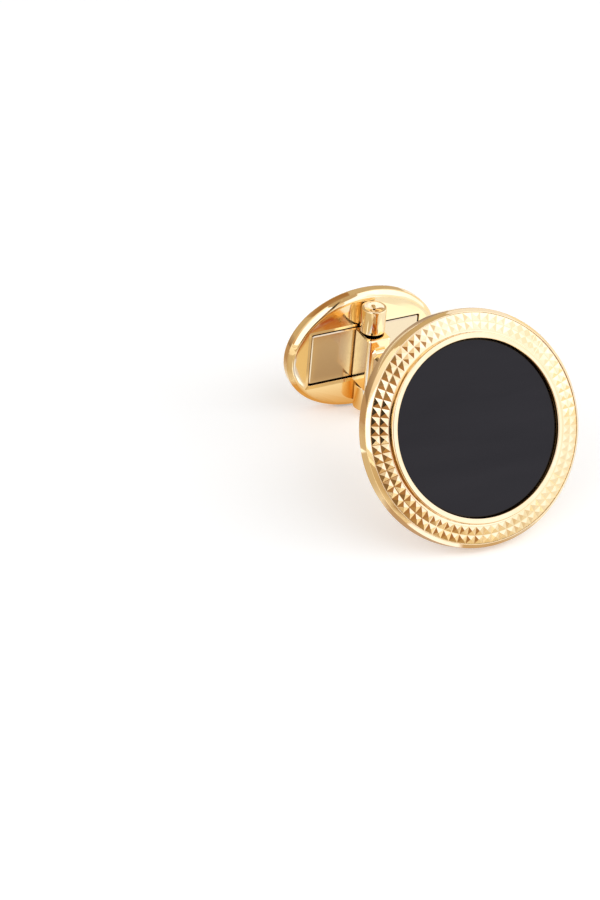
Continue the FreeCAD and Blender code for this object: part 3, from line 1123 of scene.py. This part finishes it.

# Dark cards under the head, in front of its lower edge and at the toggle's foot are painted shadow; bright cards
# such as the glint and bounce cards are painted light.
straight_cards = (
    ("under_head_shade_card", (-7.4, 4.9), (-6.8, -1.4), (0.41, 0.10, 0.01)),
    ("middle_card", (-7.4, 4.9), (-0.8, 7.8), (0.83, 0.68, 0.44)),
    ("shade_card", (-10, 5), (-12.2, -5.6), (0.54, 0.39, 0.27)),
    ("contact_shadow_card", (-2.5, 5), (-13.2, -11.3), (0.65, 0.52, 0.42)),
    ("glint_card", (-8.5, -2.5), (-13.4, -11.3), (1.30, 1.45, 2.20)),
    ("side_card", (-28, -8), (-5, 16), (0.70, 0.62, 0.50)),
    ("side_back_card", (-40, -8), (14, 45), (0.52, 0.38, 0.27)),
    ("left_card", (-95, -13), (-52, -13), (0.66, 0.55, 0.42)),
    ("front_card", (-14, -4.5), (-38, -13.5), (0.47, 0.33, 0.20)),
    ("foot_card", (-4.5, -1.5), (-16, -12.6), (0.52, 0.37, 0.22)),
    ("toe_card", (-1.5, 6), (-15, -12.6), (0.88, 0.80, 0.66)),
    ("step_card", (1.2, 12), (-32, -16.4), (0.72, 0.54, 0.34)),
    ("far_card", (-80, -14), (-200, -48), dark_brown),
    ("far_front_card", (-14, -3), (-200, -36), (0.53, 0.34, 0.16)),
    ("bounce_card", (4.5, 60), (-30, 10), (1.0, 1.12, 1.40)),
    ("right_pad_card", (4.5, 13), (-4, 8), (1.25, 1.42, 1.72)),
    ("toggle_back_card", (-7, 5), (9.6, 14), (0.72, 0.42, 0.14)),
    ("eye_card", (-9, -3.2), (-2.6, 6.4), (0.70, 0.83, 1.46)),
)
# The plate card fades from painted shade under the head to the lit table, the toggle's foot card from the lit
# table into painted shadow, and the two edge cards are painted highlights.
fitted_cards = (
    ("plate_card", (-2.3, -7, 4.5), (0.4, -7, 4.5), (0.41, 0.09, 0.01), (0.66, 0.44, 0.19)),
    ("toggle_foot_shadow_card", (6.6, -7, 4.5), (10.2, -7, 4.5), (1.0, 0.97, 0.92), (0.72, 0.42, 0.14)),
    ("pad_edge_card", (3.8, -16.5, -13.5), (8.2, -9.3, -6.3), (1.30, 1.50, 1.90), (1.30, 1.50, 1.90)),
    ("eye_edge_card", (-0.7, -8.33, -7.05), (6.3, -4.04, -2.76), (1.30, 1.70, 2.60), (1.30, 1.70, 2.60)),
    ("pad_card", (0.4, 1.27, 5), (6.3, -2.35, 5), (0.71, 0.61, 0.48), (0.55, 0.44, 0.33)),
)
print(len(straight_cards), "straight cards and", len(fitted_cards), "fitted ones")

# %% Lay the cards down


def add_table_card(name, near_line, far_line, near_colour, far_colour, lift):
    """Card on the table whose edges fade out; each line is a y and the x where the card begins and ends."""
    near = Vector(near_line)
    far = Vector(far_line)
    depth = far.x - near.x
    width = min(near.z - near.y, far.z - far.y)
    fade = min(edge_share * min(depth, width), widest_edge)
    corners = []
    colours = []
    for row, y in enumerate((near.x - fade, near.x + fade, far.x - fade, far.x + fade)):
        share = (y - near.x) / depth
        _, left, right = near.lerp(far, share)
        colour = Vector(near_colour).lerp(Vector(far_colour), min(max(share, 0), 1))
        for column, x in enumerate((left - fade, left + fade, right - fade, right + fade)):
            corners.append((x * MM, y * MM, lift * MM))
            colours.append((*colour, 1 if row in (1, 2) and column in (1, 2) else 0))
    show_only_in_reflections(name, corners, grid_faces(4, 4), colours)


table_cards = [(name, (near, *ends), (far, *ends), colour, colour)
               for name, ends, (near, far), colour in straight_cards]
table_cards += fitted_cards
for order, card in enumerate(table_cards):
    add_table_card(*card, lowest_lift + lift_step * order)
print(len(table_cards), "cards lie on the table")

# %% [markdown]
# ## A card behind the pin
# The dimple in the pin's end is a small hollow mirror that looks up and back. One tiny upright card behind it
# gives the hollow its bright half, as a tent's far wall does, and is too small to show in other pieces.

# %% Pin card
pin_card_y = 10.2
pin_card_x = (0.15, 0.95)
pin_card_z = (10.26, 11.1)
pin_card = [(x * MM, pin_card_y * MM, z * MM) for z in pin_card_z for x in pin_card_x]
show_only_in_reflections("pin_card", pin_card, grid_faces(2, 2), [(*brighter, 1)] * 4)
print("the pin's card stands", pin_card_z[0], "mm above the table")

# %% [markdown]
# ## The camera
# The picture is an upright frame, taken from the left and above with a long lens, so that the ellipses hardly
# change over the object. The camera stands at its distance from a point between head and hinge, and is turned a
# little so that this point lands where it does in the picture. It also leans a few degrees. We build its three
# axes by hand, because a lean is awkward with constraints.

# %% The camera's place
view_azimuth = -31.526
view_elevation = 32.42
view_lean = radians(5.904)
camera_distance = 350.0
look_from_hinge = Vector((0, -10.0, 0.88))
aim_left = 10.002
aim_down = 2.871

look_point = hinge_centre + look_from_hinge * MM
back = towards(view_azimuth, view_elevation)
level_right = Vector((cos(radians(view_azimuth)), sin(radians(view_azimuth)), 0))
level_up = back.cross(level_right)
lean_right = level_right * cos(view_lean) + level_up * sin(view_lean)
lean_up = level_up * cos(view_lean) - level_right * sin(view_lean)

eye_point = look_point + back * (camera_distance * MM)
aim_point = look_point - lean_right * (aim_left * MM) - lean_up * (aim_down * MM)
camera_back = (eye_point - aim_point).normalized()
camera_right = lean_up.cross(camera_back).normalized()
camera_up = camera_back.cross(camera_right)
print("camera at", [round(v / MM) for v in eye_point], "mm")

# %% Lens and picture
lens_pixels = 4601.4
picture_height = 900

lens = bpy.data.cameras.new("product_camera")
lens.sensor_fit = "AUTO"
lens.sensor_width = 36.0
lens.lens = lens_pixels * lens.sensor_width / picture_height
lens.clip_start = 0.01
camera = add_object("product_camera", lens)
axes = Matrix((camera_right, camera_up, camera_back)).transposed().to_4x4()
camera.matrix_world = Matrix.Translation(eye_point) @ axes
bpy.context.scene.camera = camera
bpy.context.scene.view_settings.view_transform = "Standard"
print("lens", round(lens.lens, 1), "mm")
